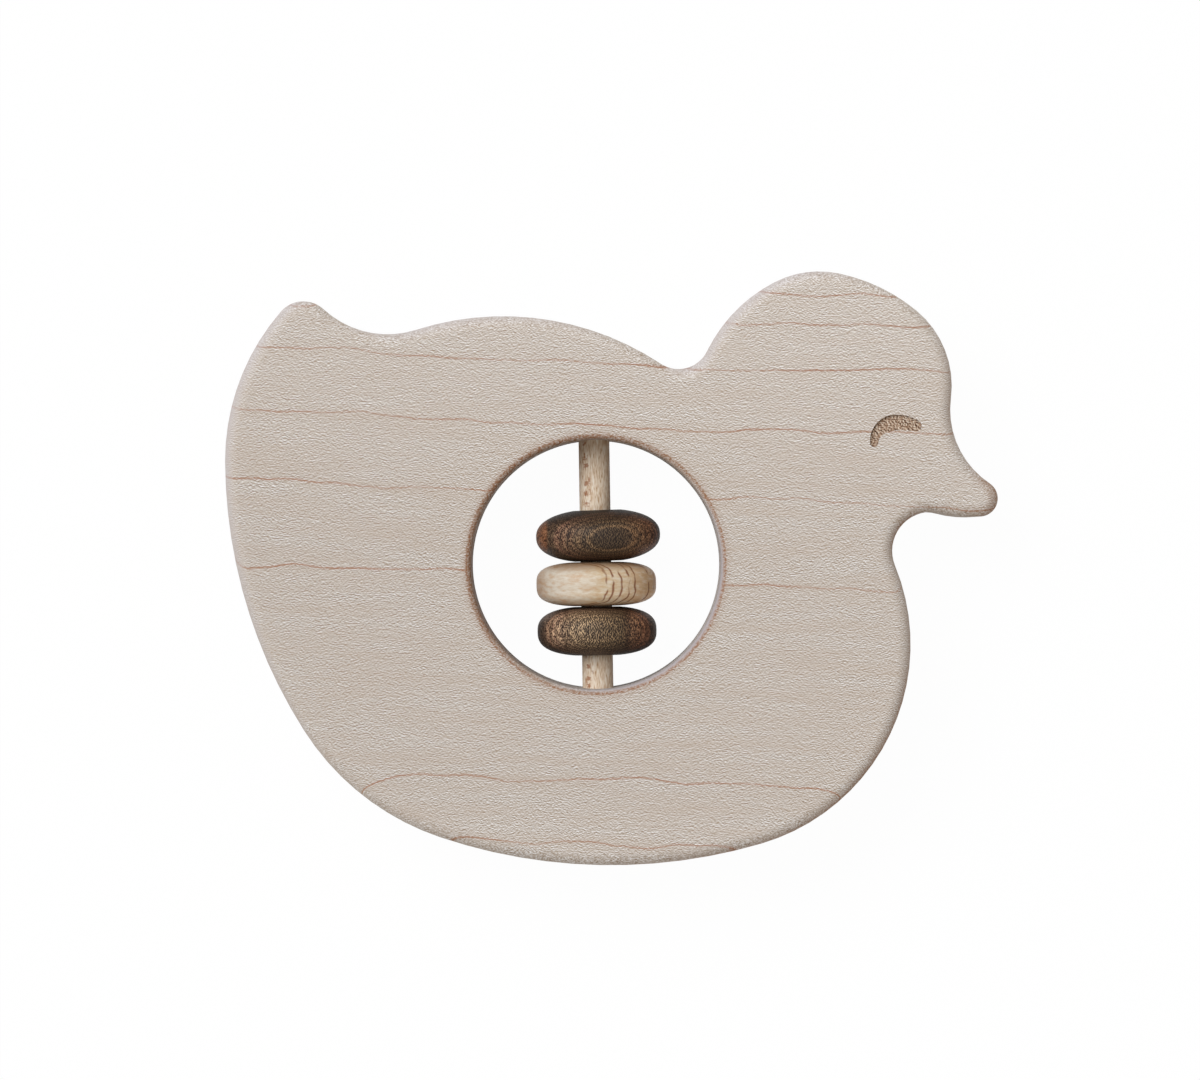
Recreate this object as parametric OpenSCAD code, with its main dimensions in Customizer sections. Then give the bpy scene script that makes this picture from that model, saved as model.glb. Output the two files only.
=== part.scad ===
/* [Board] */
// Length of the duck from the rump to the tip of the bill
body_length = 119; // [112:1:136]
// Height of the duck from the belly to the crown
body_height = 91; // [86:1:97]
// Thickness of the board
board_t = 20; // [19.5:0.5:28]
// Round-over along the outer edges
edge_round = 2; // [0.6:0.1:2.4]

/* [Head] */
// Radius of the crown
crown_r = 15; // [12:0.5:18]
// Distance from the tip of the bill back to the top of the crown
crown_setback = 27.2; // [25:0.1:30]
// Radius of the forehead
forehead_r = 15; // [12:0.5:17]
// Distance from the tip of the bill back to the front of the forehead
forehead_setback = 6.8; // [5:0.1:8]
// Drop from the top of the crown to the middle of the forehead
forehead_drop = 17.7; // [16:0.1:20]
// Radius of the easy curve between the forehead and the crown
brow_r = 27.5; // [23:0.5:36]
// Radius of the back of the head
nape_r = 23.5; // [20:0.5:28]
// Direction in which the back of the head leaves the crown, in degrees from the bill's side
nape_turn = 116; // [110:1:122]
// Radius of the hollow between the head and the back
neck_r = 4.9; // [3.5:0.1:6.5]

/* [Bill] */
// Radius of the tip of the bill
bill_tip_r = 2.8; // [2.5:0.1:3.4]
// Drop from the top of the crown to the middle of the bill's tip
bill_drop = 35.4; // [33.5:0.1:37]
// Radius of the hollow above the bill
bill_hollow_r = 13.6; // [11:0.1:16]
// Radius of the underside of the bill
jaw_r = 17; // [14:0.5:22]
// Direction in which the underside leaves the tip, in degrees below level
jaw_turn = 85; // [80:1:90]
// Radius of the throat
throat_r = 6; // [5:0.1:7]

/* [Breast and belly] */
// Radius of the breast
breast_r = 32; // [28:0.5:36]
// Distance from the tip of the bill back to the front of the breast
breast_setback = 13.8; // [12:0.1:16]
// Radius of the belly
belly_r = 82.5; // [70:0.5:95]
// Distance of the belly's lowest point ahead of the middle
belly_x = 0.3; // [-3:0.1:3]
// Radius of the curve between the belly and the rump
haunch_r = 40; // [34:0.5:46]

/* [Tail and back] */
// Radius of the rump
rump_r = 78; // [70:0.5:86]
// Height of the rump's rearmost point above the middle
rump_rise = 16.8; // [14:0.1:19]
// Radius of the curve from the rump up to the tail
tail_sweep_r = 35; // [31:0.5:39]
// Radius of the tip of the tail
tail_tip_r = 4.6; // [3.6:0.1:5.6]
// Distance from the rump forward to the middle of the tail's tip
tail_setback = 12.4; // [11.5:0.1:14]
// Drop from the top of the crown to the middle of the tail's tip
tail_drop = 7.9; // [7:0.1:10]
// Radius of the hollow between the tail and the back
tail_hollow_r = 14.5; // [12:0.5:18]
// Radius of the back
back_r = 44; // [39:0.5:49]
// Distance of the back's highest point behind the middle
back_x = 17; // [15:0.1:19]
// Drop from the top of the crown to the highest point of the back
back_drop = 6.1; // [5:0.1:7.5]

/* [Opening] */
// Diameter of the round opening
opening_d = 38.6; // [34:0.1:42]
// Distance of the opening's centre behind the middle
opening_x = 2.6; // [0:0.1:5]
// Height of the opening's centre above the middle
opening_y = 0.9; // [-2:0.1:3]
// Round-over along the edges of the opening
opening_round = 0.9; // [0.4:0.1:2]

/* [Eye] */
// Radius of the end of the closed eye's short leg
eye_leg_r = 0.62; // [0.5:0.02:0.8]
// Direction that the leg's outer side faces at its end, in degrees
eye_leg_turn = 185; // [175:1:195]
// Radius of the shoulder, where the leg bends over into the lid
eye_shoulder_r = 4; // [3.5:0.1:4.5]
// Radius of the lid's upper edge in front of the shoulder
eye_brow_r = 6.8; // [5.6:0.1:8]
// Radius of the lid's front end
eye_front_r = 0.9; // [0.7:0.05:1.2]
// Direction that the lid faces where its front end starts, in degrees
eye_front_turn = 58.5; // [52:0.5:68]
// Radius of the lid's hollow lower edge
eye_lower_r = 7.1; // [6:0.1:10]
// Turn below the level at which the front end runs into the lower edge, in degrees
eye_lower_turn = 106; // [100:0.5:112]
// Radius of the inner corner between the lid and the leg
eye_corner_r = 1.9; // [1.2:0.1:2.5]
// Distance from the tip of the bill back to the end of the eye's leg
eye_setback = 19; // [17.5:0.1:21]
// Drop from the top of the crown to the end of the eye's leg
eye_drop = 26.6; // [24:0.1:29]
// Depth of the engraving
eye_depth = 0.5; // [0.3:0.1:1]

/* [Dowel] */
// Diameter of the dowel
dowel_d = 4.8; // [4:0.1:6.4]
// Depth of the blind socket above the opening
socket_depth = 12; // [6:0.5:14]
// Gap for the glue around the dowel
glue_gap = 0.05; // [0.03:0.01:0.15]
// Gap between the hidden end of the dowel and the end of its socket
end_gap = 0.5; // [0.2:0.1:1]
// Chamfer on the hidden end of the dowel
dowel_chamfer = 0.5; // [0.2:0.1:1]

/* [Rings] */
// Diameter of the upper dark ring
top_ring_d = 19.3; // [16:0.1:19.4]
// Thickness of the upper dark ring
top_ring_t = 7.9; // [6:0.1:9]
// Fullness of the upper ring's edge, where 2 is an ellipse
top_ring_fullness = 2.3; // [2:0.1:4]
// Diameter of the light ring
middle_ring_d = 18.6; // [16:0.1:19.4]
// Thickness of the light ring
middle_ring_t = 6.8; // [5:0.1:8]
// Fullness of the light ring's edge
middle_ring_fullness = 3.2; // [2:0.1:4]
// Diameter of the lower dark ring
bottom_ring_d = 18.5; // [16:0.1:19.4]
// Thickness of the lower dark ring
bottom_ring_t = 7.5; // [6:0.1:9]
// Fullness of the lower ring's edge
bottom_ring_fullness = 2.7; // [2:0.1:4]
// Play between the dowel and the rings, on each side
ring_play = 0.7; // [0.5:0.05:1]
// Chamfer at both ends of the rings' bores
bore_chamfer = 0.6; // [0.3:0.1:1]
// Gap between neighbouring rings
ring_gap = 0.15; // [0.1:0.05:0.4]
// Height of the stack of rings above the bottom of the opening
stack_rise = 5.2; // [3.5:0.1:6]
// Lean of the upper ring on the dowel, in degrees
top_ring_lean = 1; // [0:0.1:1.5]
// Gap left between the upper ring's bore and the dowel where it leans over
lean_gap = 0.3; // [0.2:0.05:0.5]

/* [Hidden] */

$fn = 128;
// Largest distance between a flat facet and the true curve
facet_sag = 0.03;
// Largest turn between two facets, in degrees
facet_turn = 7.5;
// Facets across each round-over
round_steps = 4;
// Facets across the profile of a ring
ring_steps = 32;
// Length by which a cut runs past the surface it opens
overrun = 1;
// Share of a facet by which a round-over's ends run past the surfaces that they meet
facet_overrun = 0.25;

front_x = body_length/2;
top_y = body_height/2;
mid_z = board_t/2;

// An arc is [centre, radius]. A positive radius bulges out of the shape and a negative one
// is hollow, so two arcs touch where their centres lie apart by the difference of the radii.
bill_tip = [[front_x - bill_tip_r, top_y - bill_drop], bill_tip_r];
forehead = [[front_x - forehead_setback - forehead_r, top_y - forehead_drop], forehead_r];
crown = [[front_x - crown_setback, top_y - crown_r], crown_r];
nape = leaving(crown, nape_r, nape_turn);
back = [[-back_x, top_y - back_drop - back_r], back_r];
tail_tip = [[tail_setback - front_x, top_y - tail_drop], tail_tip_r];
rump = [[rump_r - front_x, rump_rise], rump_r];
belly = [[belly_x, belly_r - top_y], belly_r];
breast = inside_below(belly, breast_r, front_x - breast_setback - breast_r);
jaw = leaving(bill_tip, jaw_r, -jaw_turn);

// The outline of the board, arc by arc, counter-clockwise from the bill
duck_outline = [
    bill_tip,
    touching(bill_tip, forehead, -bill_hollow_r, -1),
    forehead,
    touching(forehead, crown, brow_r, 1),
    crown,
    nape,
    touching(nape, back, -neck_r, -1),
    back,
    touching(back, tail_tip, -tail_hollow_r, -1),
    tail_tip,
    touching(tail_tip, rump, tail_sweep_r, -1),
    rump,
    touching(rump, belly, haunch_r, 1),
    belly,
    breast,
    touching(breast, jaw, -throat_r, -1),
    jaw
];

// The outline of the eye about the end of its leg, counter-clockwise from there
eye_leg = [[0, 0], eye_leg_r];
eye_shoulder = leaving(eye_leg, eye_shoulder_r, eye_leg_turn);
eye_brow = leaving(eye_shoulder, eye_brow_r, 90);
eye_front = leaving(eye_brow, eye_front_r, eye_front_turn);
eye_lower = leaving(eye_front, -eye_lower_r, -eye_lower_turn);
eye_outline = [
    eye_leg,
    touching(eye_leg, eye_lower, -eye_corner_r, 1),
    eye_lower,
    eye_front,
    eye_brow,
    eye_shoulder
];

dowel_r = dowel_d/2;
dowel_x = -opening_x;
opening_r = opening_d/2;
socket_end = opening_y + opening_r + socket_depth;
ring_bore_r = dowel_r + ring_play;
top_ring_shift = ring_play - lean_gap;

bottom_ring_y = opening_y - opening_r + stack_rise + bottom_ring_t/2;
middle_ring_y = bottom_ring_y + bottom_ring_t/2 + ring_gap + middle_ring_t/2;
top_ring_y = middle_ring_y + middle_ring_t/2 + ring_gap + top_ring_t/2;

// Unit vector at an angle
function toward(angle) = [cos(angle), sin(angle)];

// Arc of radius r that carries on from arc a, from the point that faces the given angle
function leaving(a, r, angle) = [a[0] + (a[1] - r)*toward(angle), r];

// Arc of radius r that touches arc a on its inside, below its centre, with its own centre at x
function inside_below(a, r, x) =
    [[x, a[0][1] - sqrt(pow(a[1] - r, 2) - pow(x - a[0][0], 2))], r];

// Arc of radius r that touches arcs a and b; its centre is left (1) or right (-1) of the way from a to b
function touching(a, b, r, side) =
    let (
        apart = norm(b[0] - a[0]),
        way = (b[0] - a[0])/apart,
        reach_a = abs(a[1] - r),
        reach_b = abs(b[1] - r),
        along = (apart*apart + reach_a*reach_a - reach_b*reach_b)/(2*apart),
        across = sqrt(reach_a*reach_a - along*along)
    )
    [a[0] + along*way + side*across*[-way[1], way[0]], r];

// Direction that the shape's edge faces where touching arcs a and b meet
function facing(a, b) =
    let (n = (b[0] - a[0])/(a[1] - b[1]))
    atan2(n[1], n[0]);

// Turn along an arc of radius r from one direction to another: up to 270 degrees forwards where
// it bulges, and as far backwards where it is hollow
function turn_along(r, from, to) =
    r > 0 ? (to - from + 450) % 360 - 90 : 90 - (from - to + 450) % 360;

// Turn of one facet on an arc of radius r
function facet_angle(r) = min(facet_turn, 2*acos(1 - facet_sag/abs(r)));

// Points along a closed run of touching arcs, set inwards by inset
function points_along(arcs, inset = 0) = [
    for (i = [0:len(arcs) - 1])
        let (
            arc = arcs[i],
            before = arcs[(i + len(arcs) - 1) % len(arcs)],
            after = arcs[(i + 1) % len(arcs)],
            start = facing(before, arc),
            turn = turn_along(arc[1], start, facing(arc, after)),
            steps = max(1, ceil(abs(turn)/facet_angle(arc[1])))
        )
        for (k = [0:steps - 1])
            arc[0] + (arc[1] - inset)*toward(start + turn*k/steps)
];

// Points of a quarter round from the face to the side, as [distance in from the side, depth from the face]
function round_over(r) = [
    for (k = [0:round_steps])
        r*([1, 1] - [sin(90*k/round_steps), cos(90*k/round_steps)])
];

// A list the other way round
function reversed(list) = [for (i = [len(list) - 1:-1:0]) list[i]];

// The round-over with its first and last facets carried on a little past the face and the side
function long_round_over(r) =
    let (
        p = round_over(r),
        n = round_steps,
        start = p[0] + (p[0] - p[1])*facet_overrun,
        end = p[n] + (p[n] - p[n - 1])*facet_overrun
    )
    concat([start], [for (k = [1:n - 1]) p[k]], [end]);

// A cross-section of [inset, height] points carried once around a closed run of arcs
module carried(arcs, section) {
    count = len(points_along(arcs));
    rows = len(section);
    points = [
        for (s = section)
            for (p = points_along(arcs, s[0]))
                [p[0], p[1], s[1]]
    ];
    faces = [
        for (j = [0:rows - 1])
            for (i = [0:count - 1])
                let (
                    row = j*count,
                    next_row = (j + 1) % rows*count,
                    next = (i + 1) % count
                )
                [row + i, next_row + i, next_row + next, row + next]
    ];
    polyhedron(points, faces);
}

// What the round-over takes off the outer edge of the front face
module edge_cut() {
    edge = long_round_over(edge_round);
    inner = edge[0][0];
    depth = edge[round_steps][1];
    carried(duck_outline, concat(
        [[-overrun, board_t - depth], [-overrun, board_t + overrun], [inner, board_t + overrun]],
        [for (p = edge) [p[0], board_t - p[1]]]
    ));
}

// The board sawn to the outline, with its outer edges rounded over on both faces
module board() {
    difference() {
        linear_extrude(board_t)
            polygon(points_along(duck_outline));
        edge_cut();
        translate([0, 0, board_t])
            mirror([0, 0, 1])
                edge_cut();
    }
}

// The round opening with its edges rounded over on both faces
module opening_cut() {
    edge = round_over(opening_round);
    low = [for (p = edge) [opening_r + p[0], p[1]]];
    high = [for (p = reversed(low)) [p[0], board_t - p[1]]];
    mouth = opening_r + opening_round;
    translate([-opening_x, opening_y, 0])
        rotate_extrude()
            polygon(concat(
                [[0, -overrun], [mouth, -overrun]],
                low,
                high,
                [[mouth, board_t + overrun], [0, board_t + overrun]]
            ));
}

// A round bar along the dowel's axis between two heights on the duck
module along_dowel(r, from, to) {
    translate([dowel_x, from, mid_z])
        rotate([-90, 0, 0])
            cylinder(h = to - from, r = r);
}

// The engraved eye, open at the front face
module eye_cut() {
    translate([front_x - eye_setback, top_y - eye_drop, board_t - eye_depth])
        linear_extrude(eye_depth + overrun)
            polygon(points_along(eye_outline));
}

// A turned ring about the dowel's direction: its rim is part of a full ellipse, cut off at the
// chamfered bore, where the ring has its thickness
module ring(d, t, fullness) {
    r = d/2;
    lip_r = ring_bore_r + bore_chamfer;
    reach = acos(pow(lip_r/r, fullness/2));
    swell = t/2/pow(sin(reach), 2/fullness);
    rim = [
        for (k = [0:ring_steps])
            let (a = reach*(2*k/ring_steps - 1))
            [
                r*pow(cos(a), 2/fullness),
                swell*sign(a)*pow(abs(sin(a)), 2/fullness)
            ]
    ];
    bore_end = t/2 - bore_chamfer;
    rotate([-90, 0, 0])
        rotate_extrude()
            polygon(concat(rim, [[ring_bore_r, bore_end], [ring_bore_r, -bore_end]]));
}

module duck_body() {
    color("#C4BAB1")
        difference() {
            board();
            opening_cut();
            along_dowel(dowel_r + glue_gap, -top_y - overrun, socket_end);
            eye_cut();
        }
}

// The lower end is sanded flush with the belly
module dowel() {
    hidden_end = socket_end - end_gap;
    color("#B29C86")
        intersection() {
            union() {
                along_dowel(dowel_r, -top_y - overrun, hidden_end - dowel_chamfer);
                translate([dowel_x, hidden_end - dowel_chamfer, mid_z])
                    rotate([-90, 0, 0])
                        cylinder(h = dowel_chamfer, r1 = dowel_r, r2 = dowel_r - dowel_chamfer);
            }
            translate(belly[0])
                cylinder(h = board_t, r = belly_r);
        }
}

module ring_top() {
    color("#58443A")
        translate([dowel_x + top_ring_shift, top_ring_y, mid_z])
            rotate(top_ring_lean)
                ring(top_ring_d, top_ring_t, top_ring_fullness);
}

module ring_middle() {
    color("#BEAC96")
        translate([dowel_x, middle_ring_y, mid_z])
            ring(middle_ring_d, middle_ring_t, middle_ring_fullness);
}

module ring_bottom() {
    color("#695446")
        translate([dowel_x, bottom_ring_y, mid_z])
            ring(bottom_ring_d, bottom_ring_t, bottom_ring_fullness);
}

duck_body();
dowel();
ring_top();
ring_middle();
ring_bottom();
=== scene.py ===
# %% [markdown]
# # A wooden duck rattle
# The toy is a flat duck sawn from one maple board, with a round opening through its middle. A
# beech dowel crosses the opening, and three loose turned rings slide on it and clack when the duck
# is shaken. The solids come in as a fixed frame, in metres. They have the right sizes and the
# right joints but plain faceted surfaces, so each piece is modelled again here around its solid,
# with smooth rounds and a real wood.

# %% Load the frame
import math

import bmesh
import bpy
from mathutils import Matrix, Vector


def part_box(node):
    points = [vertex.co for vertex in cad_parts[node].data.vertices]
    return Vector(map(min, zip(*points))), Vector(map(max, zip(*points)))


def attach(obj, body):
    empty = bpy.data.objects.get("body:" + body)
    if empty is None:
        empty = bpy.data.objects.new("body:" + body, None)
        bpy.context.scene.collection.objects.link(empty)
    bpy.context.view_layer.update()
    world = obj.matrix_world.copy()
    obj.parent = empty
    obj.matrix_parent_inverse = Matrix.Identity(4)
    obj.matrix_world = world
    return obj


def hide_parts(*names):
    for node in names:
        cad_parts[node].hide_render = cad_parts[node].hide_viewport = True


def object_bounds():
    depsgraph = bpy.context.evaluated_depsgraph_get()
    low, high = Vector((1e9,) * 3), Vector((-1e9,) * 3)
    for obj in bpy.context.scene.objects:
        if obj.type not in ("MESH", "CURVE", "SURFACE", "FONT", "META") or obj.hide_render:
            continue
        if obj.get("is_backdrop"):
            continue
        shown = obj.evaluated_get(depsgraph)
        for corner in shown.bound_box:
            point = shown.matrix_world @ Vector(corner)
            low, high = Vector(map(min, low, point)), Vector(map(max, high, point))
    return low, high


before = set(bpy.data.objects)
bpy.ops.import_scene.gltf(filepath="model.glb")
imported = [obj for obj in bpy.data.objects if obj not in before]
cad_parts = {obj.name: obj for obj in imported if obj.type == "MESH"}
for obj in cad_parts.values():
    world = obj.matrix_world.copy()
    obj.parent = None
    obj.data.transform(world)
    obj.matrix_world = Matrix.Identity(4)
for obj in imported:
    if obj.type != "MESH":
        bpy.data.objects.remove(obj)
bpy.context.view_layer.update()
MM = 0.001

# %% [markdown]
# ## Reading a shape from a solid
# A new piece has to fit the joint that moves it, so its outline is taken from the solid and not
# drawn by eye. A level plane that cuts the solid leaves just the cut's edges when both sides are
# cleared. The solid is loose triangles, so a copy is merged first, and the points that the
# triangles' diagonals leave in the middle of a straight edge are dissolved.

# %% Cut a solid with a plane
MERGE = 0.001 * MM
STRAIGHT = math.radians(0.5)


def merged_copy(node):
    """A bmesh of a solid with its loose triangles joined."""
    solid = bmesh.new()
    solid.from_mesh(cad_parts[node].data)
    bmesh.ops.remove_doubles(solid, verts=solid.verts, dist=MERGE)
    return solid


def everything(shape):
    return shape.verts[:] + shape.edges[:] + shape.faces[:]


def section(node, point, normal):
    """The edges along which a plane cuts a solid."""
    cut = merged_copy(node)
    bmesh.ops.bisect_plane(
        cut, geom=everything(cut), plane_co=point, plane_no=normal,
        clear_inner=True, clear_outer=True,
    )
    bmesh.ops.dissolve_limit(cut, angle_limit=STRAIGHT, verts=cut.verts, edges=cut.edges)
    return cut


board_low, board_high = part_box("duck_body")
front = board_high.z
middle = (board_low.z + board_high.z) / 2
print("board thickness in mm:", round((board_high.z - board_low.z) / MM, 2))

# %% [markdown]
# ## The board's outline
# The cut runs between the dowel's bore and the front round-over, where the wall stands straight.
# It finds two loops, the duck's outline and the round opening. The opening is turned later from
# its true circle, so its loop is only measured here and then deleted.

# %% Outline and opening
WALL_HEIGHT = 15 * MM
OPENING_REACH = 22 * MM

dowel_low, dowel_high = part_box("dowel")
dowel_x = (dowel_low.x + dowel_high.x) / 2
duck = section("duck_body", (0, 0, WALL_HEIGHT), (0, 0, 1))
near_dowel = [v for v in duck.verts if (v.co.xy - Vector((dowel_x, 0))).length < OPENING_REACH]
opening_low = Vector(map(min, *(v.co for v in near_dowel)))
opening_high = Vector(map(max, *(v.co for v in near_dowel)))
opening = (opening_low + opening_high) / 2
opening_r = (opening_high.x - opening_low.x) / 2
bmesh.ops.delete(duck, geom=near_dowel, context="VERTS")
print("outline points:", len(duck.verts), "opening in mm:", round(2 * opening_r / MM, 2))

# %% [markdown]
# ## The rounded outer edge
# The real board is sawn, and a round-over bit then takes off both edges. Here the outline is set
# at mid-thickness and extruded to the front face, the top is filled with one face, and its rim is
# bevelled. A bevel on a rim works cleanly while the top is a single face, so the opening comes
# after. One narrow inset keeps the flat face flat: its points touch only level faces, so the soft
# shading of the round ends there and does not run across the whole front.

# %% Wall, round-over and a narrow level rim
EDGE_ROUND = 2 * MM
EDGE_STEPS = 9
LEVEL_RIM = 0.25 * MM


def top_edges(shape, height):
    return [e for e in shape.edges if all(abs(v.co.z - height) < MERGE for v in e.verts)]


bmesh.ops.translate(duck, verts=duck.verts, vec=(0, 0, middle - WALL_HEIGHT))
wall = bmesh.ops.extrude_edge_only(duck, edges=duck.edges[:])["geom"]
raised = [v for v in wall if isinstance(v, bmesh.types.BMVert)]
bmesh.ops.translate(duck, verts=raised, vec=(0, 0, front - middle))
rim = top_edges(duck, front)
bmesh.ops.contextual_create(duck, geom=rim)
bmesh.ops.bevel(
    duck, geom=rim, offset=EDGE_ROUND, offset_type="OFFSET", affect="EDGES",
    segments=EDGE_STEPS, profile=0.5, material=-1, clamp_overlap=False,
)
top = max(duck.faces, key=lambda face: len(face.verts))
bmesh.ops.inset_region(duck, faces=[top], thickness=LEVEL_RIM, use_even_offset=True)
bmesh.ops.delete(duck, geom=[top], context="FACES_ONLY")
print("faces on the outer edge:", len(duck.faces))

# %% [markdown]
# ## The wall of the opening
# The opening was bored, so it is a turned shape. Its profile is two straight edges with a corner
# between them. A bevel of that one point makes the small round, and a spin about the opening's
# axis makes the wall.

# %% Turn the opening
OPENING_ROUND = 0.9 * MM
OPENING_STEPS = 6
OPENING_SEGMENTS = 192

mouth_r = opening_r + OPENING_ROUND + LEVEL_RIM
corners = [
    duck.verts.new((opening.x + reach, opening.y, height))
    for reach, height in ((mouth_r, front), (opening_r, front), (opening_r, middle))
]
profile = [duck.edges.new(pair) for pair in zip(corners, corners[1:])]
bmesh.ops.bevel(
    duck, geom=[corners[1]], offset=OPENING_ROUND, offset_type="OFFSET", affect="VERTICES",
    segments=OPENING_STEPS, profile=0.5, material=-1, clamp_overlap=False,
)
profile = [v for v in duck.verts if not v.link_faces]
profile += [e for e in duck.edges if not e.link_faces]
bmesh.ops.spin(
    duck, geom=profile, cent=opening, axis=(0, 0, 1), angle=2 * math.pi,
    steps=OPENING_SEGMENTS, use_merge=True,
)
bmesh.ops.mirror(
    duck, geom=everything(duck), matrix=Matrix.Translation((0, 0, -middle)),
    merge_dist=MERGE, axis="Z",
)
print("faces with the opening, both halves:", len(duck.faces))

# %% [markdown]
# ## The burnt eye
# The closed eye is a shallow engraving on the front only, burnt in line by line. Its outline is
# cut from the solid just below the front face. The loop moves up to the face, is extruded straight
# down to the floor, and the floor is filled. These faces get the second material.

# %% Engrave the eye
EYE_CUT = 0.25 * MM
EYE_DEPTH = 0.5 * MM
EYE_REACH = 6 * MM
EYE_CENTRE = Vector((43.6, 20.6)) * MM
BURNT = 1

eye = section("duck_body", (0, 0, front - EYE_CUT), (0, 0, 1))
others = [v for v in eye.verts if (v.co.xy - EYE_CENTRE).length > EYE_REACH]
bmesh.ops.delete(eye, geom=others, context="VERTS")
bmesh.ops.translate(eye, verts=eye.verts, vec=(0, 0, EYE_CUT))
lowered = bmesh.ops.extrude_edge_only(eye, edges=eye.edges[:])["geom"]
floor_points = [v for v in lowered if isinstance(v, bmesh.types.BMVert)]
bmesh.ops.translate(eye, verts=floor_points, vec=(0, 0, -EYE_DEPTH))
bmesh.ops.contextual_create(eye, geom=top_edges(eye, front - EYE_DEPTH))
for face in eye.faces:
    face.material_index = BURNT
engraving = bpy.data.meshes.new("engraving")
eye.to_mesh(engraving)
duck.from_mesh(engraving)
bpy.data.meshes.remove(engraving)
print("eye points:", len(floor_points))

# %% [markdown]
# ## The flat faces
# Front and back are now open between their loops: the outer rim, the mouth of the opening and, in
# front, the eye. A triangle fill spans any set of loops that lie in one plane and leaves the holes
# open.

# %% Fill the faces
for height, side in ((front, 1), (board_low.z, -1)):
    open_edges = [e for e in top_edges(duck, height) if e.is_boundary]
    bmesh.ops.triangle_fill(duck, edges=open_edges, use_beauty=True, normal=(0, 0, side))
bmesh.ops.remove_doubles(duck, verts=duck.verts, dist=MERGE)
bmesh.ops.recalc_face_normals(duck, faces=duck.faces)
print("board closed:", all(e.is_manifold for e in duck.edges))
print("board volume in cm3:", round(duck.calc_volume() * 1e6, 2))

# %% [markdown]
# ## From a bmesh to a piece
# Every piece is finished in the same way: soft shading with true corners left sharp, the object at
# the origin, riding on its body, standing for its solid. A shape that was cut from a solid still
# carries the solid's stored normals, which would spoil the shading, so they are dropped.

# %% Finish a piece
CORNER = math.radians(40)


def finish_piece(shape, name, body, node):
    mesh = bpy.data.meshes.new(name)
    shape.to_mesh(mesh)
    shape.free()
    carried = mesh.attributes.get("custom_normal")
    if carried:
        mesh.attributes.remove(carried)
    mesh.shade_smooth()
    mesh.set_sharp_from_angle(angle=CORNER)
    piece = bpy.data.objects.new(name, mesh)
    bpy.context.scene.collection.objects.link(piece)
    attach(piece, body)
    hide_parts(node)
    print(name, "has", len(mesh.polygons), "faces and rides on", body)
    return piece


# %% [markdown]
# ## The dowel's bore
# The dowel enters through the belly and ends in a blind hole above the opening. A bored hole
# through a curved wall is what a Boolean is for: a round bar is taken away once, and the result is
# kept as the mesh.

# %% Bore the board
GLUE_GAP = 0.05 * MM
END_GAP = 0.5 * MM
BORE_SEGMENTS = 64
OVERRUN = 1 * MM

bore_r = (dowel_high.x - dowel_low.x) / 2 + GLUE_GAP
bore_start = dowel_low.y - OVERRUN
bore_end = dowel_high.y + END_GAP
bar = bmesh.new()
bmesh.ops.create_cone(
    bar, cap_ends=True, segments=BORE_SEGMENTS, radius1=bore_r, radius2=bore_r,
    depth=bore_end - bore_start,
    matrix=Matrix.Translation((dowel_x, (bore_start + bore_end) / 2, middle))
    @ Matrix.Rotation(math.radians(90), 4, "X"),
)
bar_mesh = bpy.data.meshes.new("bar")
bar.to_mesh(bar_mesh)
bar.free()
bar_object = bpy.data.objects.new("bar", bar_mesh)
bpy.context.scene.collection.objects.link(bar_object)

solid_mesh = bpy.data.meshes.new("unbored")
duck.to_mesh(solid_mesh)
duck.free()
unbored = bpy.data.objects.new("unbored", solid_mesh)
bpy.context.scene.collection.objects.link(unbored)
boring = unbored.modifiers.new("bore", "BOOLEAN")
boring.operation = "DIFFERENCE"
boring.solver = "EXACT"
boring.object = bar_object
bored_mesh = bpy.data.meshes.new_from_object(
    unbored.evaluated_get(bpy.context.evaluated_depsgraph_get())
)
duck = bmesh.new()
duck.from_mesh(bored_mesh)
for used in (unbored, bar_object):
    bpy.data.objects.remove(used)
for used in (bored_mesh, bar_mesh, solid_mesh):
    bpy.data.meshes.remove(used)
print("bored board closed:", all(e.is_manifold for e in duck.edges))
board = finish_piece(duck, "duck_board", "frame", "duck_body")

# %% [markdown]
# ## The turned pieces
# The dowel and the rings come off a lathe. A plane along the lathe's axis gives the profile of the
# solid, a second cut keeps one side of it, and a full spin turns it again with many more steps
# than the solid has. The upper ring leans by a degree on the dowel, so it is turned about its own
# axis.

# %% Turn the dowel and the rings
TURN_STEPS = 128
UPPER_LEAN = math.radians(1)


def turned(node, lean=0.0):
    """A solid's profile about its lathe axis, spun once around."""
    low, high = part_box(node)
    centre = (low + high) / 2
    axis = Vector((-math.sin(lean), math.cos(lean), 0))
    across = Vector((math.cos(lean), math.sin(lean), 0))
    shape = section(node, centre, across)
    bmesh.ops.bisect_plane(
        shape, geom=everything(shape), plane_co=centre, plane_no=(0, 0, 1), clear_inner=True,
    )
    bmesh.ops.spin(
        shape, geom=everything(shape), cent=centre, axis=axis, angle=2 * math.pi,
        steps=TURN_STEPS, use_merge=True,
    )
    bmesh.ops.remove_doubles(shape, verts=shape.verts, dist=MERGE)
    bmesh.ops.recalc_face_normals(shape, faces=shape.faces)
    print(node, "closed:", all(e.is_manifold for e in shape.edges),
          "volume in mm3:", round(shape.calc_volume() / MM**3, 1))
    return shape


dowel = finish_piece(turned("dowel"), "cross_dowel", "frame", "dowel")
upper_ring = finish_piece(
    turned("ring_top", UPPER_LEAN), "upper_ring", "ring_top", "ring_top"
)
light_ring = finish_piece(
    turned("ring_middle"), "light_ring", "ring_middle", "ring_middle"
)
lower_ring = finish_piece(
    turned("ring_bottom"), "lower_ring", "ring_bottom", "ring_bottom"
)

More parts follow.
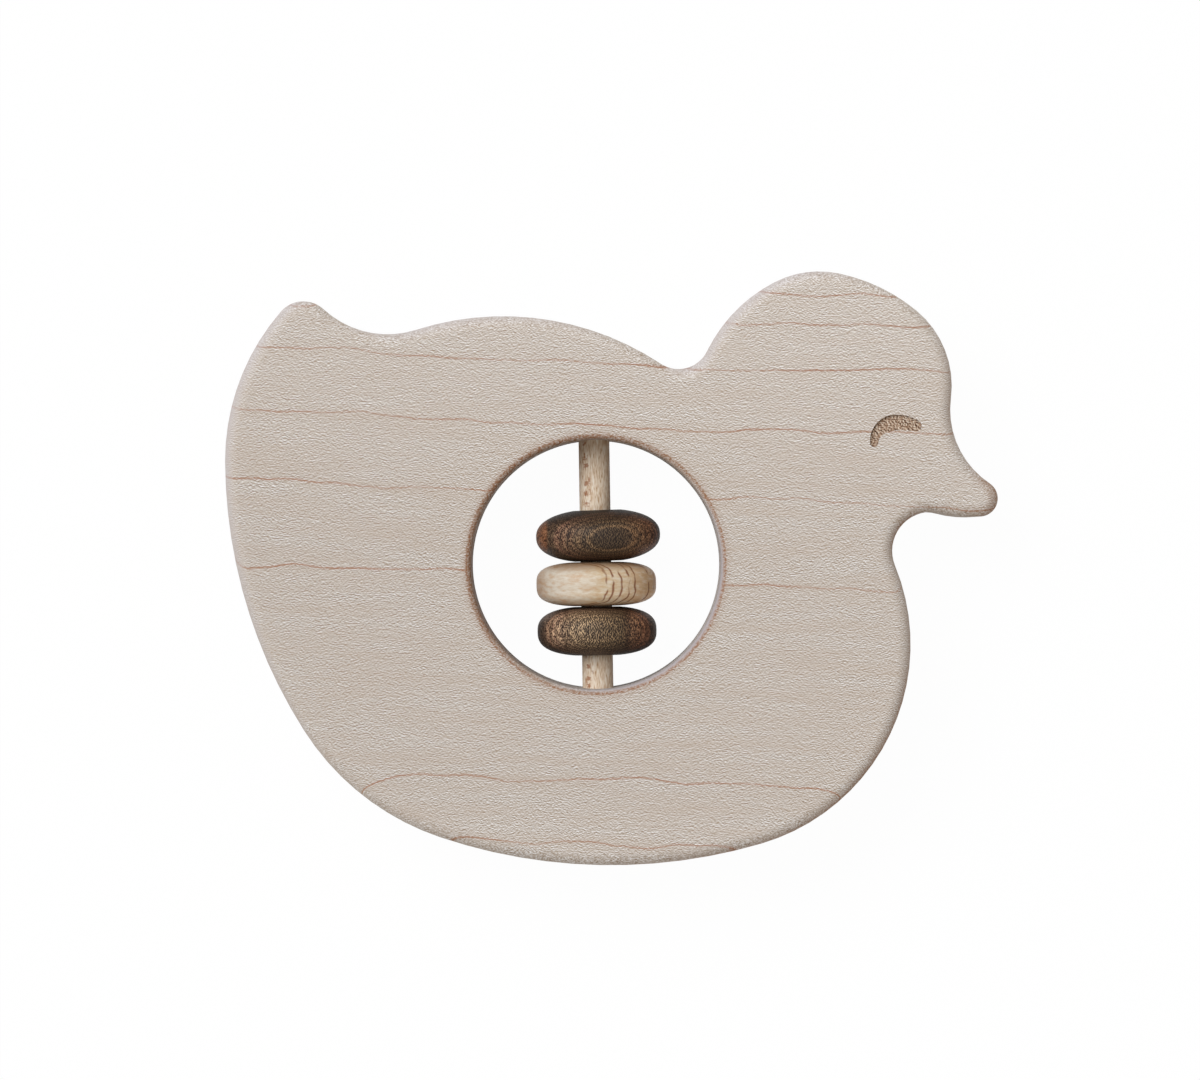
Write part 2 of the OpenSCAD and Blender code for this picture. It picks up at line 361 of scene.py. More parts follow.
# %% [markdown]
# ## Writing materials
# Every material here is a wood, drawn as a solid: the pattern fills space and the surface just
# cuts through it, so growth lines run over an edge and show as rings on the end grain, as they do
# on a real board. Object coordinates give that, because each piece has its place in its mesh.
# Colours are written as sRGB hex and turned to linear, and every pattern is in millimetres.

# %% Colours and nodes
def linear(code):
    """A linear RGBA colour from an sRGB hex value."""
    shares = [int(code[i:i + 2], 16) / 255 for i in (1, 3, 5)]
    return [s / 12.92 if s <= 0.04045 else ((s + 0.055) / 1.055) ** 2.4 for s in shares] + [1.0]


def add(tree, kind, inputs=(), **settings):
    """Add a node with its settings. An input is a value, or a socket to link."""
    made = tree.nodes.new("ShaderNode" + kind)
    for name, value in settings.items():
        setattr(made, name, value)
    for name, value in dict(inputs).items():
        if isinstance(value, bpy.types.NodeSocket):
            tree.links.new(value, made.inputs[name])
        else:
            made.inputs[name].default_value = value
    return made


def set_stops(ramp, stops):
    """Give a colour ramp its stops, as (position, colour) pairs in rising order."""
    elements = ramp.color_ramp.elements
    for position, _ in stops[2:]:
        elements.new(position)
    for element, (position, colour) in zip(elements, stops):
        element.position = position
        element.color = colour
    return ramp


def new_finish(name, piece):
    """An empty material in a piece's next slot."""
    material = bpy.data.materials.new(name)
    material.use_nodes = True
    material.node_tree.nodes.clear()
    piece.data.materials.append(material)
    return material.node_tree


def per_mm(*sides):
    """Factors that make one unit of a pattern as long as these sides in mm."""
    return [1 / side for side in sides]


# %% [markdown]
# ## Maple: growth lines
# The board is plain-sawn hard maple, sanded and left almost bare. Its growth lines are thin and
# red-brown and lie far apart, because the saw ran close to the heart of the tree. They are circles
# about an axis along the board, so the distance to that axis is all that is needed. The grain
# falls slightly to the right, and slow noises let the lines sway as they do in the picture.

# %% Maple: distance from the heart
GRAIN_TURN = math.radians(3.2)
HEART = Vector((0.0, -16.9, 8.0))
SWAYS = ((1.2, 34.0), (1.0, 10.0), (0.10, 2.0))  # reach and length in mm

tree = new_finish("sanded_maple", board)
place = add(tree, "TexCoord")
grain = add(tree, "Mapping", {
    "Vector": place.outputs["Object"], "Scale": (1 / MM,) * 3,
    "Rotation": (0, 0, GRAIN_TURN), "Location": -HEART,
}).outputs["Vector"]
swayed = grain
for reach, length in SWAYS:
    noise = add(tree, "TexNoise", {"Vector": grain, "Scale": 1 / length, "Detail": 1.0})
    even = add(tree, "VectorMath", {
        0: noise.outputs["Color"], 1: (0.5, 0.5, 0.5),
    }, operation="SUBTRACT").outputs["Vector"]
    swayed = add(tree, "VectorMath", {
        0: even, 1: (0, 2 * reach, 2 * reach), 2: swayed,
    }, operation="MULTIPLY_ADD").outputs["Vector"]
along, across, deep = add(tree, "SeparateXYZ", {"Vector": swayed}).outputs

# %% [markdown]
# Near the belly the lines close into long flat arches: they turn down at both ends, and the lowest
# one lies closer to its neighbour. Smooth steps bend the height before the distance is taken.

# %% Maple: arches at the belly
KEEL_FROM, KEEL_TO, KEEL_SHIFT = -17.0, -25.6, -3.1
ARCH_MIDDLE = -1.5
ARCH_FROM, ARCH_TO, ARCH_DROP = 32.0, 44.0, 4.5
BELLY_FROM, BELLY_TO = -6.0, -13.0

keel = add(tree, "MapRange", {
    "Value": across, "From Min": KEEL_FROM, "From Max": KEEL_TO, "To Max": KEEL_SHIFT,
}, interpolation_type="SMOOTHSTEP").outputs["Result"]
sideways = add(tree, "Math", {0: along, 1: ARCH_MIDDLE}, operation="ADD").outputs[0]
sideways = add(tree, "Math", {0: sideways}, operation="ABSOLUTE").outputs[0]
arch = add(tree, "MapRange", {
    "Value": sideways, "From Min": ARCH_FROM, "From Max": ARCH_TO, "To Max": ARCH_DROP,
}, interpolation_type="SMOOTHSTEP").outputs["Result"]
belly = add(tree, "MapRange", {
    "Value": across, "From Min": BELLY_FROM, "From Max": BELLY_TO,
}, interpolation_type="SMOOTHSTEP").outputs["Result"]
bent = add(tree, "Math", {0: arch, 1: belly, 2: across}, operation="MULTIPLY_ADD").outputs[0]
bent = add(tree, "Math", {0: bent, 1: keel}, operation="ADD").outputs[0]
from_heart = add(tree, "CombineXYZ", {"Y": bent, "Z": deep}).outputs["Vector"]
radius = add(tree, "VectorMath", {0: from_heart}, operation="LENGTH").outputs["Value"]

# %% [markdown]
# A colour ramp is too coarse for lines of a third of a millimetre, because it is stored as a short
# table. So the gap to each line is worked out, and the smallest one decides. The front cuts each
# circle at a slant, which would widen the inner lines, so each gap is stretched to make up for it.

# %% Maple: thin lines
GROWTH_LINES = (10.5, 19.7, 30.9, 41.1, 50.3, 57.0, 61.6)  # distances from the heart in mm
LINE_CORE = 0.04
LINE_EDGE = 0.21

front_over_heart = front / MM - HEART.z
nearest = None
for line in GROWTH_LINES:
    slant = 1.0
    if line > front_over_heart:
        slant = line / math.sqrt(line**2 - front_over_heart**2)
    gap = add(tree, "Math", {
        0: radius, 1: slant, 2: -line * slant,
    }, operation="MULTIPLY_ADD").outputs[0]
    gap = add(tree, "Math", {0: gap}, operation="ABSOLUTE").outputs[0]
    if nearest:
        gap = add(tree, "Math", {0: gap, 1: nearest}, operation="MINIMUM").outputs[0]
    nearest = gap
print("growth lines:", len(GROWTH_LINES))

# %% [markdown]
# ## Maple: flecks
# Between the lines the sanded face is full of short wavy flecks, light and pinkish brown, where
# the fibres dip in and out of the surface. The real ones are finer than a pixel, so these are
# drawn coarser, about a third of a millimetre long, so that they show. A noise that is stretched
# along the grain draws them, and a slower noise makes them wave. The same noise, moved by one
# fleck's width, is taken away, so each fleck has a painted lit flank and a painted shaded flank,
# the light and shade of a relief too fine for the bump, and all are of one size. They are fainter
# on the upright walls. Slower noises draw long warm streaks and let the growth lines come and go.

# %% Maple: flecks and streaks
FLECK = (0.30, 0.135, 0.135)
FLANK = 0.135
WAVE = 0.08
WAVE_LENGTH = 0.7
CLOUD = (22.0, 2.0, 2.0)
FADE = (16.0, 5.0, 5.0)
SLOPE, WALL_FLECKS = 0.5, 0.4
FAINTEST, STRONGEST = 0.40, 0.80

wave = add(tree, "TexNoise", {"Vector": grain, "Scale": 1 / WAVE_LENGTH, "Detail": 0.0})
waved = add(tree, "VectorMath", {
    0: wave.outputs["Color"], 1: (0, 2 * WAVE, 2 * WAVE), 2: grain,
}, operation="MULTIPLY_ADD").outputs["Vector"]
stretched = add(tree, "VectorMath", {
    0: waved, 1: per_mm(*FLECK),
}, operation="MULTIPLY").outputs["Vector"]
beside = add(tree, "VectorMath", {0: stretched, 1: (0, FLANK / FLECK[1], 0)}, operation="ADD")
fleck = 0.5
for point, operation in ((stretched, "ADD"), (beside.outputs["Vector"], "SUBTRACT")):
    noise = add(tree, "TexNoise", {
        "Vector": point, "Scale": 1.0, "Detail": 2.0, "Roughness": 0.65,
    }).outputs["Fac"]
    fleck = add(tree, "Math", {0: fleck, 1: noise}, operation=operation).outputs[0]
normal = place.outputs["Normal"]
level = add(tree, "SeparateXYZ", {"Vector": normal}).outputs["Z"]
level = add(tree, "Math", {0: level}, operation="ABSOLUTE").outputs[0]
calm = add(tree, "MapRange", {
    "Value": level, "From Max": SLOPE, "To Min": WALL_FLECKS,
}).outputs["Result"]
fleck = add(tree, "Mix", {0: calm, 2: 0.5, 3: fleck}).outputs[0]
# The fleck colour holds the fibres' tone and also the painted light and shade of their relief.
fleck_tone_and_shade = set_stops(add(tree, "ValToRGB", {"Fac": fleck}), [
    (0.20, linear("#6A5745")), (0.39, linear("#A49280")), (0.50, linear("#C6BCB2")),
    (0.61, linear("#E0DCD9")), (0.80, linear("#FEFEFF")),
]).outputs["Color"]
slow = add(tree, "VectorMath", {0: grain, 1: per_mm(*CLOUD)}, operation="MULTIPLY")
cloud = add(tree, "TexNoise", {
    "Vector": slow.outputs["Vector"], "Scale": 1.0, "Detail": 3.0, "Roughness": 0.6,
}).outputs["Fac"]
slow = add(tree, "VectorMath", {0: grain, 1: per_mm(*FADE)}, operation="MULTIPLY")
fade = add(tree, "TexNoise", {"Vector": slow.outputs["Vector"], "Scale": 1.0, "Detail": 1.0})
fade = add(tree, "MapRange", {
    "Value": fade.outputs["Fac"], "From Min": 0.34, "From Max": 0.60,
    "To Min": FAINTEST, "To Max": STRONGEST,
}).outputs["Result"]

# %% [markdown]
# The layers go on top of each other: flecks, long warm streaks and the growth lines, whose sides
# the flecks make ragged. Far from the heart the wood is whiter and its streaks are weaker. A trace
# of painted light brightens the board towards the bill, so the duck's head is the palest and
# coolest part.

# %% Maple: colour
RAGGED = 0.4
STREAKS, STREAKS_LEFT = 0.42, 0.4
STREAKS_FADE = (30.0, 62.0)
WHITER = (22.0, 62.0)
DUCK_HALF = 55.0

warm = add(tree, "MapRange", {
    "Value": cloud, "From Min": 0.36, "From Max": 0.72, "To Max": STREAKS,
}).outputs["Result"]
cooler = add(tree, "MapRange", {
    "Value": radius, "From Min": STREAKS_FADE[0], "From Max": STREAKS_FADE[1],
    "To Min": 1.0, "To Max": STREAKS_LEFT,
}).outputs["Result"]
warm = add(tree, "Math", {0: warm, 1: cooler}, operation="MULTIPLY").outputs[0]
colour = add(tree, "Mix", {
    0: warm, 6: fleck_tone_and_shade, 7: linear("#BCAA9A"),
}, data_type="RGBA").outputs[2]
whiter = add(tree, "MapRange", {
    "Value": radius, "From Min": WHITER[0], "From Max": WHITER[1], "To Min": 0.97, "To Max": 1.055,
}).outputs["Result"]
# Painted light: the board a trace brighter towards the bill.
painted_light_to_bill = add(tree, "MapRange", {
    "Value": along, "From Min": -DUCK_HALF, "From Max": DUCK_HALF, "To Min": 0.975, "To Max": 1.025,
}).outputs["Result"]
whiter = add(tree, "Math", {0: whiter, 1: painted_light_to_bill}, operation="MULTIPLY").outputs[0]
colour = add(tree, "VectorMath", {0: colour, 1: whiter}, operation="MULTIPLY").outputs["Vector"]
ragged = add(tree, "Math", {0: fleck, 1: RAGGED, 2: nearest}, operation="MULTIPLY_ADD").outputs[0]
line_share = add(tree, "MapRange", {
    "Value": ragged, "From Min": LINE_EDGE + RAGGED / 2, "From Max": LINE_CORE + RAGGED / 2,
}).outputs["Result"]
line_share = add(tree, "Math", {0: line_share, 1: fade}, operation="MULTIPLY").outputs[0]
colour = add(tree, "Mix", {
    0: line_share, 6: colour, 7: linear("#9C6A48"),
}, data_type="RGBA").outputs[2]

# %% [markdown]
# The rounded edges are browner and speckled. Part of the brown is burnish where the cutter rubbed
# the fibres, and part is painted shade: it is strongest on the edges that look right and down,
# away from the lamp. The edges that look up and left get a painted pale grey sheen instead. The
# bill's thin tip browned all around, and so did the rim of the opening, where the bit rubbed
# harder; the opening's walls that look right and down also get painted shade. The tone follows
# the surface's own direction and how level it is, and a distance from the opening's middle tells
# the two edges apart. A speckle that is coarser than the flecks breaks the brown up, and the
# upright walls keep only a little of either tone.

# %% Maple: burnished edges
SHADED_SIDE = (0.77, -0.64, 0.0)
BILL_TIP = (53.0, 58.0)
SPECKLE = 0.34
SHEEN_OUTER, SHEEN_BORED = 0.5, 1.0
OUTER_FALL = 5.0
BILL_BROWN = 0.7
SPECKLE_LEAST = 0.45
WALL_SHEEN = 0.25
# The share of burnish and painted shade by how level the surface is, and for the bored rim also
# the share of burnish that it has on every side.
OUTER_BROWN = ((0.0, 0.3), (0.15, 1.0), (0.45, 1.0), (0.85, 0.55), (0.97, 0.32), (1.0, 0.0))
BORED_BROWN = (
    (0.0, 0.40, 0.0), (0.15, 0.78, 0.02), (0.60, 0.78, 0.10), (0.85, 0.80, 0.60),
    (0.97, 0.80, 0.80), (0.99, 0.60, 0.55), (1.0, 0.40, 0.0),
)

# Painted shade: how far the surface looks towards the side away from the lamp.
facing = add(tree, "VectorMath", {
    0: normal, 1: SHADED_SIDE,
}, operation="DOT_PRODUCT").outputs["Value"]
outer_edge = set_stops(add(tree, "ValToRGB", {"Fac": level}), [
    (flat, (brown,) * 4) for flat, brown in OUTER_BROWN
]).outputs["Color"]
bored_edge = set_stops(add(tree, "ValToRGB", {"Fac": level}), [
    (flat, (brown, brown, brown, around)) for flat, brown, around in BORED_BROWN
]).outputs
from_opening = add(tree, "VectorMath", {
    0: place.outputs["Object"], 1: opening,
}, operation="SUBTRACT").outputs["Vector"]
from_opening = add(tree, "VectorMath", {
    0: from_opening, 1: (1, 1, 0),
}, operation="MULTIPLY").outputs["Vector"]
from_opening = add(tree, "VectorMath", {0: from_opening}, operation="LENGTH").outputs["Value"]
bored = add(tree, "MapRange", {
    "Value": from_opening,
    "From Min": opening_r + 2 * OPENING_ROUND, "From Max": opening_r + OPENING_ROUND,
}).outputs["Result"]
outer_side = add(tree, "MapRange", {"Value": facing, "From Min": -0.5}).outputs["Result"]
outer_side = add(tree, "Math", {0: outer_side, 1: OUTER_FALL}, operation="POWER").outputs[0]
bill = add(tree, "MapRange", {
    "Value": along, "From Min": BILL_TIP[0], "From Max": BILL_TIP[1], "To Max": BILL_BROWN,
}).outputs["Result"]
outer_side = add(tree, "Math", {0: outer_side, 1: bill}, operation="MAXIMUM").outputs[0]
bored_side = add(tree, "MapRange", {
    "Value": facing, "From Min": -0.35, "From Max": 0.25,
}).outputs["Result"]
outer = add(tree, "Math", {0: outer_edge, 1: outer_side}, operation="MULTIPLY").outputs[0]
rim = add(tree, "Math", {0: bored_edge["Color"], 1: bored_side}, operation="MULTIPLY").outputs[0]
rim = add(tree, "Math", {0: rim, 1: bored_edge["Alpha"]}, operation="MAXIMUM").outputs[0]
burnish_and_shade = add(tree, "Mix", {0: bored, 2: outer, 3: rim}).outputs[0]
speckle = add(tree, "TexNoise", {
    "Vector": grain, "Scale": 1 / SPECKLE, "Detail": 1.0,
}).outputs["Fac"]
speckled = add(tree, "MapRange", {
    "Value": speckle, "From Min": 0.58, "From Max": 0.43, "To Min": SPECKLE_LEAST,
}).outputs["Result"]
burnish_and_shade = add(tree, "Math", {0: burnish_and_shade, 1: speckled}, operation="MULTIPLY").outputs[0]
# Painted sheen: a pale grey on the faces that look up and left, towards the lamp.
pale = add(tree, "MapRange", {"Value": facing, "From Min": -0.15, "From Max": -0.75})
share = add(tree, "Mix", {0: bored, 2: SHEEN_OUTER, 3: SHEEN_BORED}).outputs[0]
pale = add(tree, "Math", {0: pale.outputs["Result"], 1: share}, operation="MULTIPLY").outputs[0]
upright = add(tree, "MapRange", {
    "Value": level, "From Max": 0.2, "To Min": WALL_SHEEN,
}).outputs["Result"]
pale = add(tree, "Math", {0: pale, 1: upright}, operation="MULTIPLY").outputs[0]
colour = add(tree, "Mix", {0: pale, 6: colour, 7: linear("#B8B2B5")}, data_type="RGBA").outputs[2]
# Burnish and painted shade go on as one brown.
colour = add(tree, "Mix", {
    0: burnish_and_shade, 6: colour, 7: linear("#86501C"),
}, data_type="RGBA").outputs[2]

# %% [markdown]
# Sanded maple with a thin matt wax hardly shines. The light flanks of the flecks are a trace
# smoother than the dark ones, and a low bump lets them catch the lamp. The specular level is low,
# because more would lay a grey veil on the walls that the camera sees at a slant.

# %% Maple: surface
FLECK_DEPTH = 0.06 * MM

bump = add(tree, "Bump", {"Height": fleck, "Strength": 0.5, "Distance": FLECK_DEPTH})
rough = add(tree, "MapRange", {
    "Value": fleck, "From Min": 0.3, "From Max": 0.7, "To Min": 0.75, "To Max": 0.60,
}).outputs["Result"]
surface = add(tree, "BsdfPrincipled", {
    "Base Color": colour, "Roughness": rough, "IOR": 1.5, "Specular IOR Level": 0.08,
    "Normal": bump.outputs["Normal"],
})
add(tree, "OutputMaterial", {"Surface": surface.outputs[0]})
print("maple nodes:", len(tree.nodes))

# %% [markdown]
# ## The burnt eye
# A beam burnt the eye line by line, so its floor is a tan and dark-brown speckle in fine rows. The
# rows are drawn a little coarser than they are, so that they show. As with the flecks, a noise
# less itself one dot further on leaves dots of one size.

# %% Burnt maple
BURN = (0.23, 0.17, 1.0)
DOT = (0.9, 0.7, 0.0)
BURN_DEPTH = 0.15 * MM

tree = new_finish("burnt_maple", board)
place = add(tree, "TexCoord")
spot = add(tree, "Mapping", {
    "Vector": place.outputs["Object"], "Scale": [factor / MM for factor in per_mm(*BURN)],
}).outputs["Vector"]
beside = add(tree, "VectorMath", {0: spot, 1: DOT}, operation="ADD")
speckle = 0.5
for point, operation in ((spot, "ADD"), (beside.outputs["Vector"], "SUBTRACT")):
    noise = add(tree, "TexNoise", {"Vector": point, "Scale": 1.0, "Detail": 1.0}).outputs["Fac"]
    speckle = add(tree, "Math", {0: speckle, 1: noise}, operation=operation).outputs[0]
colour = set_stops(add(tree, "ValToRGB", {"Fac": speckle}), [
    (0.25, linear("#35241A")), (0.42, linear("#8A6B55")), (0.55, linear("#B99F88")),
    (0.75, linear("#E3D5C4")),
]).outputs["Color"]
bump = add(tree, "Bump", {"Height": speckle, "Strength": 0.6, "Distance": BURN_DEPTH})
char = add(tree, "MapRange", {"Value": speckle, "To Min": 0.95, "To Max": 0.7}).outputs["Result"]
surface = add(tree, "BsdfPrincipled", {
    "Base Color": colour, "Roughness": char, "IOR": 1.5, "Specular IOR Level": 0.1,
    "Normal": bump.outputs["Normal"],
})
add(tree, "OutputMaterial", {"Surface": surface.outputs[0]})
print("burnt faces:", sum(face.material_index == BURNT for face in board.data.polygons))

# %% [markdown]
# ## Beech: the dowel
# Bare beech has ray flecks: thin red-brown plates that stand across the growth layers. Seen flat
# they are patches, and seen edge-on they are fine dashes. On this dowel they lie flat along its
# left side. Cells that are squashed into plates draw both, and only some of the cells are kept.

# %% Bare beech
PLATE_TURN = math.radians(33)
PLATE = (1.1, 0.95, 0.75)
PLATES_KEPT = 0.6
STRIPE = -1.25
STRIPE_EDGE, STRIPE_CORE = 0.75, 0.45
FRAY, FRAY_LENGTH = 0.6, 0.4
FIBRE = (0.20, 1.2, 0.20)
FIBRE_DEPTH = 0.06 * MM

tree = new_finish("bare_beech", dowel)
place = add(tree, "TexCoord")
low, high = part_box("dowel")
wood = add(tree, "VectorMath", {
    0: place.outputs["Object"], 1: (low + high) / 2,
}, operation="SUBTRACT").outputs["Vector"]
from_stripe = add(tree, "SeparateXYZ", {"Vector": wood}).outputs["X"]
from_stripe = add(tree, "Math", {0: from_stripe, 1: STRIPE * MM}, operation="SUBTRACT").outputs[0]
from_stripe = add(tree, "Math", {0: from_stripe}, operation="ABSOLUTE").outputs[0]
in_stripe = add(tree, "MapRange", {
    "Value": from_stripe, "From Min": STRIPE_EDGE * MM, "From Max": STRIPE_CORE * MM,
}).outputs["Result"]
wood = add(tree, "Mapping", {
    "Vector": wood, "Scale": (1 / MM,) * 3, "Rotation": (0, PLATE_TURN, 0),
}).outputs["Vector"]
frayed = add(tree, "TexNoise", {
    "Vector": wood, "Scale": 1 / FRAY_LENGTH, "Detail": 1.0,
}).outputs["Color"]
frayed = add(tree, "VectorMath", {0: frayed, 1: (FRAY,) * 3, 2: wood}, operation="MULTIPLY_ADD")
squashed = add(tree, "VectorMath", {
    0: frayed.outputs["Vector"], 1: per_mm(*PLATE),
}, operation="MULTIPLY")
cells = add(tree, "TexVoronoi", {
    "Vector": squashed.outputs["Vector"], "Scale": 1.0,
}, distance="CHEBYCHEV")
chance = add(tree, "SeparateColor", {"Color": cells.outputs["Color"]}).outputs["Red"]
chosen = add(tree, "Math", {0: chance, 1: PLATES_KEPT}, operation="LESS_THAN").outputs[0]
near = add(tree, "MapRange", {
    "Value": cells.outputs["Distance"], "From Min": 0.44, "From Max": 0.26, "To Max": 0.75,
}).outputs["Result"]
plates = add(tree, "Math", {0: near, 1: chosen}, operation="MULTIPLY").outputs[0]
plates = add(tree, "Math", {0: plates, 1: in_stripe}, operation="MULTIPLY").outputs[0]
fibres = add(tree, "VectorMath", {0: wood, 1: per_mm(*FIBRE)}, operation="MULTIPLY")
fibre = add(tree, "TexNoise", {
    "Vector": fibres.outputs["Vector"], "Scale": 1.0, "Detail": 2.0, "Distortion": 0.4,
}).outputs["Fac"]
colour = set_stops(add(tree, "ValToRGB", {"Fac": fibre}), [
    (0.28, linear("#AE8C6B")), (0.42, linear("#D0B79C")), (0.52, linear("#DDCAB3")),
    (0.70, linear("#EBE1D2")),
]).outputs["Color"]
colour = add(tree, "Mix", {0: plates, 6: colour, 7: linear("#965A34")}, data_type="RGBA").outputs[2]
bump = add(tree, "Bump", {"Height": fibre, "Strength": 0.35, "Distance": FIBRE_DEPTH})
rough = add(tree, "MapRange", {"Value": fibre, "To Min": 0.7, "To Max": 0.5}).outputs["Result"]
surface = add(tree, "BsdfPrincipled", {
    "Base Color": colour, "Roughness": rough, "IOR": 1.5, "Specular IOR Level": 0.2,
    "Normal": bump.outputs["Normal"],
})
add(tree, "OutputMaterial", {"Surface": surface.outputs[0]})
print("dowel nodes:", len(tree.nodes))

# %% [markdown]
# ## Beech: the pale ring
# The ring was cut so that its layers stand at a slant. Its left half shows one cream layer almost
# flat. On its right half the layers come out on edge, so the wood turns tan there and dark dashes
# follow the layers in short arcs. A slanted height across the layers gives both: it tints the
# wood, and the gap to a few chosen heights draws the arcs, which a noise breaks into dashes.
# Towards its two flat sides the ring is browner, partly rubbed where the lathe tool turned the
# corner and partly painted shade where the rings meet, and its left end is browner too.

# %% Turned beech
LAYER_TURN = math.radians(135)
ARC_HEIGHTS = (-5.3, -4.4, -3.3, -1.9, -0.7, 2.4, 4.6, 7.0)
ARC_CORE = 0.05
ARC_EDGE = 0.22
DASH = (2.6, 2.6, 1.3)
SATIN = (1.5, 0.5, 1.5)
DRIFT, DRIFT_LENGTH = 0.9, 2.0

tree = new_finish("turned_beech", light_ring)
place = add(tree, "TexCoord")
low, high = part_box("ring_middle")
wood = add(tree, "VectorMath", {
    0: place.outputs["Object"], 1: (low + high) / 2,
}, operation="SUBTRACT").outputs["Vector"]
left_right, up_down, _ = add(tree, "SeparateXYZ", {"Vector": wood}).outputs
wood = add(tree, "Mapping", {
    "Vector": wood, "Scale": (1 / MM,) * 3, "Rotation": (0, -LAYER_TURN, 0),
}).outputs["Vector"]
drift = add(tree, "TexNoise", {
    "Vector": wood, "Scale": 1 / DRIFT_LENGTH, "Detail": 1.0,
}).outputs["Fac"]
height = add(tree, "SeparateXYZ", {"Vector": wood}).outputs["Z"]
height = add(tree, "Math", {0: drift, 1: DRIFT, 2: height}, operation="MULTIPLY_ADD").outputs[0]
height = add(tree, "Math", {0: height, 1: DRIFT / 2}, operation="SUBTRACT").outputs[0]
nearest = None
for arc in ARC_HEIGHTS:
    gap = add(tree, "Math", {0: height, 1: arc}, operation="SUBTRACT").outputs[0]
    gap = add(tree, "Math", {0: gap}, operation="ABSOLUTE").outputs[0]
    if nearest:
        gap = add(tree, "Math", {0: gap, 1: nearest}, operation="MINIMUM").outputs[0]
    nearest = gap
arcs = add(tree, "MapRange", {
    "Value": nearest, "From Min": ARC_EDGE, "From Max": ARC_CORE, "To Max": 0.9,
}).outputs["Result"]
dashes = add(tree, "VectorMath", {0: wood, 1: per_mm(*DASH)}, operation="MULTIPLY")
dash = add(tree, "TexNoise", {"Vector": dashes.outputs["Vector"], "Scale": 1.0, "Detail": 1.0})
dash = add(tree, "MapRange", {
    "Value": dash.outputs["Fac"], "From Min": 0.40, "From Max": 0.48,
}).outputs["Result"]
arcs = add(tree, "Math", {0: arcs, 1: dash}, operation="MULTIPLY").outputs[0]

# %% [markdown]
# The ring's tones go on in layers as well: the tint across the layers, tan and pale streaks of the
# satin figure, a brown rim that is partly rubbed and partly painted shade, which starts a little
# sooner on the upper side, and the dark dashes. The lower side of the ring is brighter with
# painted light. Turned and waxed wood has a soft shine.

# %% Turned beech: colour and surface
HALF_RING = 9.5
RIM = (2.4, 3.4)
RIM_OFFSET = 0.5
LEFT_END = (-7.4, -9.2)
PAINTED_LIGHT_BELOW = (-0.8, -2.8)
DASH_DEPTH = 0.06 * MM

spread = add(tree, "MapRange", {"Value": height, "From Min": -HALF_RING, "From Max": HALF_RING})
colour = set_stops(add(tree, "ValToRGB", {"Fac": spread.outputs["Result"]}), [
    (0.0, linear("#D2C6B5")), (0.13, linear("#D0C0A9")), (0.20, linear("#CFB999")),
    (0.32, linear("#D9C4A6")), (0.48, linear("#D6BA98")), (0.80, linear("#C79F70")),
]).outputs["Color"]
streaks = add(tree, "VectorMath", {0: wood, 1: per_mm(*SATIN)}, operation="MULTIPLY")
streak = add(tree, "TexNoise", {
    "Vector": streaks.outputs["Vector"], "Scale": 1.0, "Detail": 3.0, "Roughness": 0.6,
}).outputs["Fac"]
tan = add(tree, "MapRange", {
    "Value": streak, "From Min": 0.47, "From Max": 0.68, "To Max": 0.55,
}).outputs["Result"]
colour = add(tree, "Mix", {0: tan, 6: colour, 7: linear("#BD9166")}, data_type="RGBA").outputs[2]
pale = add(tree, "MapRange", {
    "Value": streak, "From Min": 0.48, "From Max": 0.30, "To Max": 0.5,
}).outputs["Result"]
colour = add(tree, "Mix", {0: pale, 6: colour, 7: linear("#E6DED2")}, data_type="RGBA").outputs[2]
# Brown rim: partly rubbed wood, partly painted shade where the rings meet.
from_middle = add(tree, "Math", {0: up_down, 1: RIM_OFFSET * MM}, operation="ADD").outputs[0]
from_middle = add(tree, "Math", {0: from_middle}, operation="ABSOLUTE").outputs[0]
rim = add(tree, "MapRange", {
    "Value": from_middle, "From Min": RIM[0] * MM, "From Max": RIM[1] * MM, "To Max": 0.6,
}).outputs["Result"]
left = add(tree, "MapRange", {
    "Value": left_right, "From Min": LEFT_END[0] * MM, "From Max": LEFT_END[1] * MM, "To Max": 0.6,
}).outputs["Result"]
rim = add(tree, "Math", {0: rim, 1: left}, operation="MAXIMUM").outputs[0]
colour = add(tree, "Mix", {0: rim, 6: colour, 7: linear("#A87A52")}, data_type="RGBA").outputs[2]
colour = add(tree, "Mix", {0: arcs, 6: colour, 7: linear("#7B4526")}, data_type="RGBA").outputs[2]
# Painted light: brighter towards the lower side, a trace darker above.
painted_light_below = add(tree, "MapRange", {
    "Value": up_down, "From Min": PAINTED_LIGHT_BELOW[0] * MM, "From Max": PAINTED_LIGHT_BELOW[1] * MM,
    "To Min": 0.93, "To Max": 1.45,
}).outputs["Result"]
colour = add(tree, "VectorMath", {0: colour, 1: painted_light_below}, operation="MULTIPLY").outputs["Vector"]
relief = add(tree, "Math", {0: arcs, 1: -0.7, 2: streak}, operation="MULTIPLY_ADD").outputs[0]
bump = add(tree, "Bump", {"Height": relief, "Strength": 0.2, "Distance": DASH_DEPTH})
rough = add(tree, "MapRange", {"Value": streak, "To Min": 0.42, "To Max": 0.55}).outputs["Result"]
surface = add(tree, "BsdfPrincipled", {
    "Base Color": colour, "Roughness": rough, "IOR": 1.5, "Specular IOR Level": 0.3,
    "Normal": bump.outputs["Normal"],
})
add(tree, "OutputMaterial", {"Surface": surface.outputs[0]})
print("pale ring nodes:", len(tree.nodes))

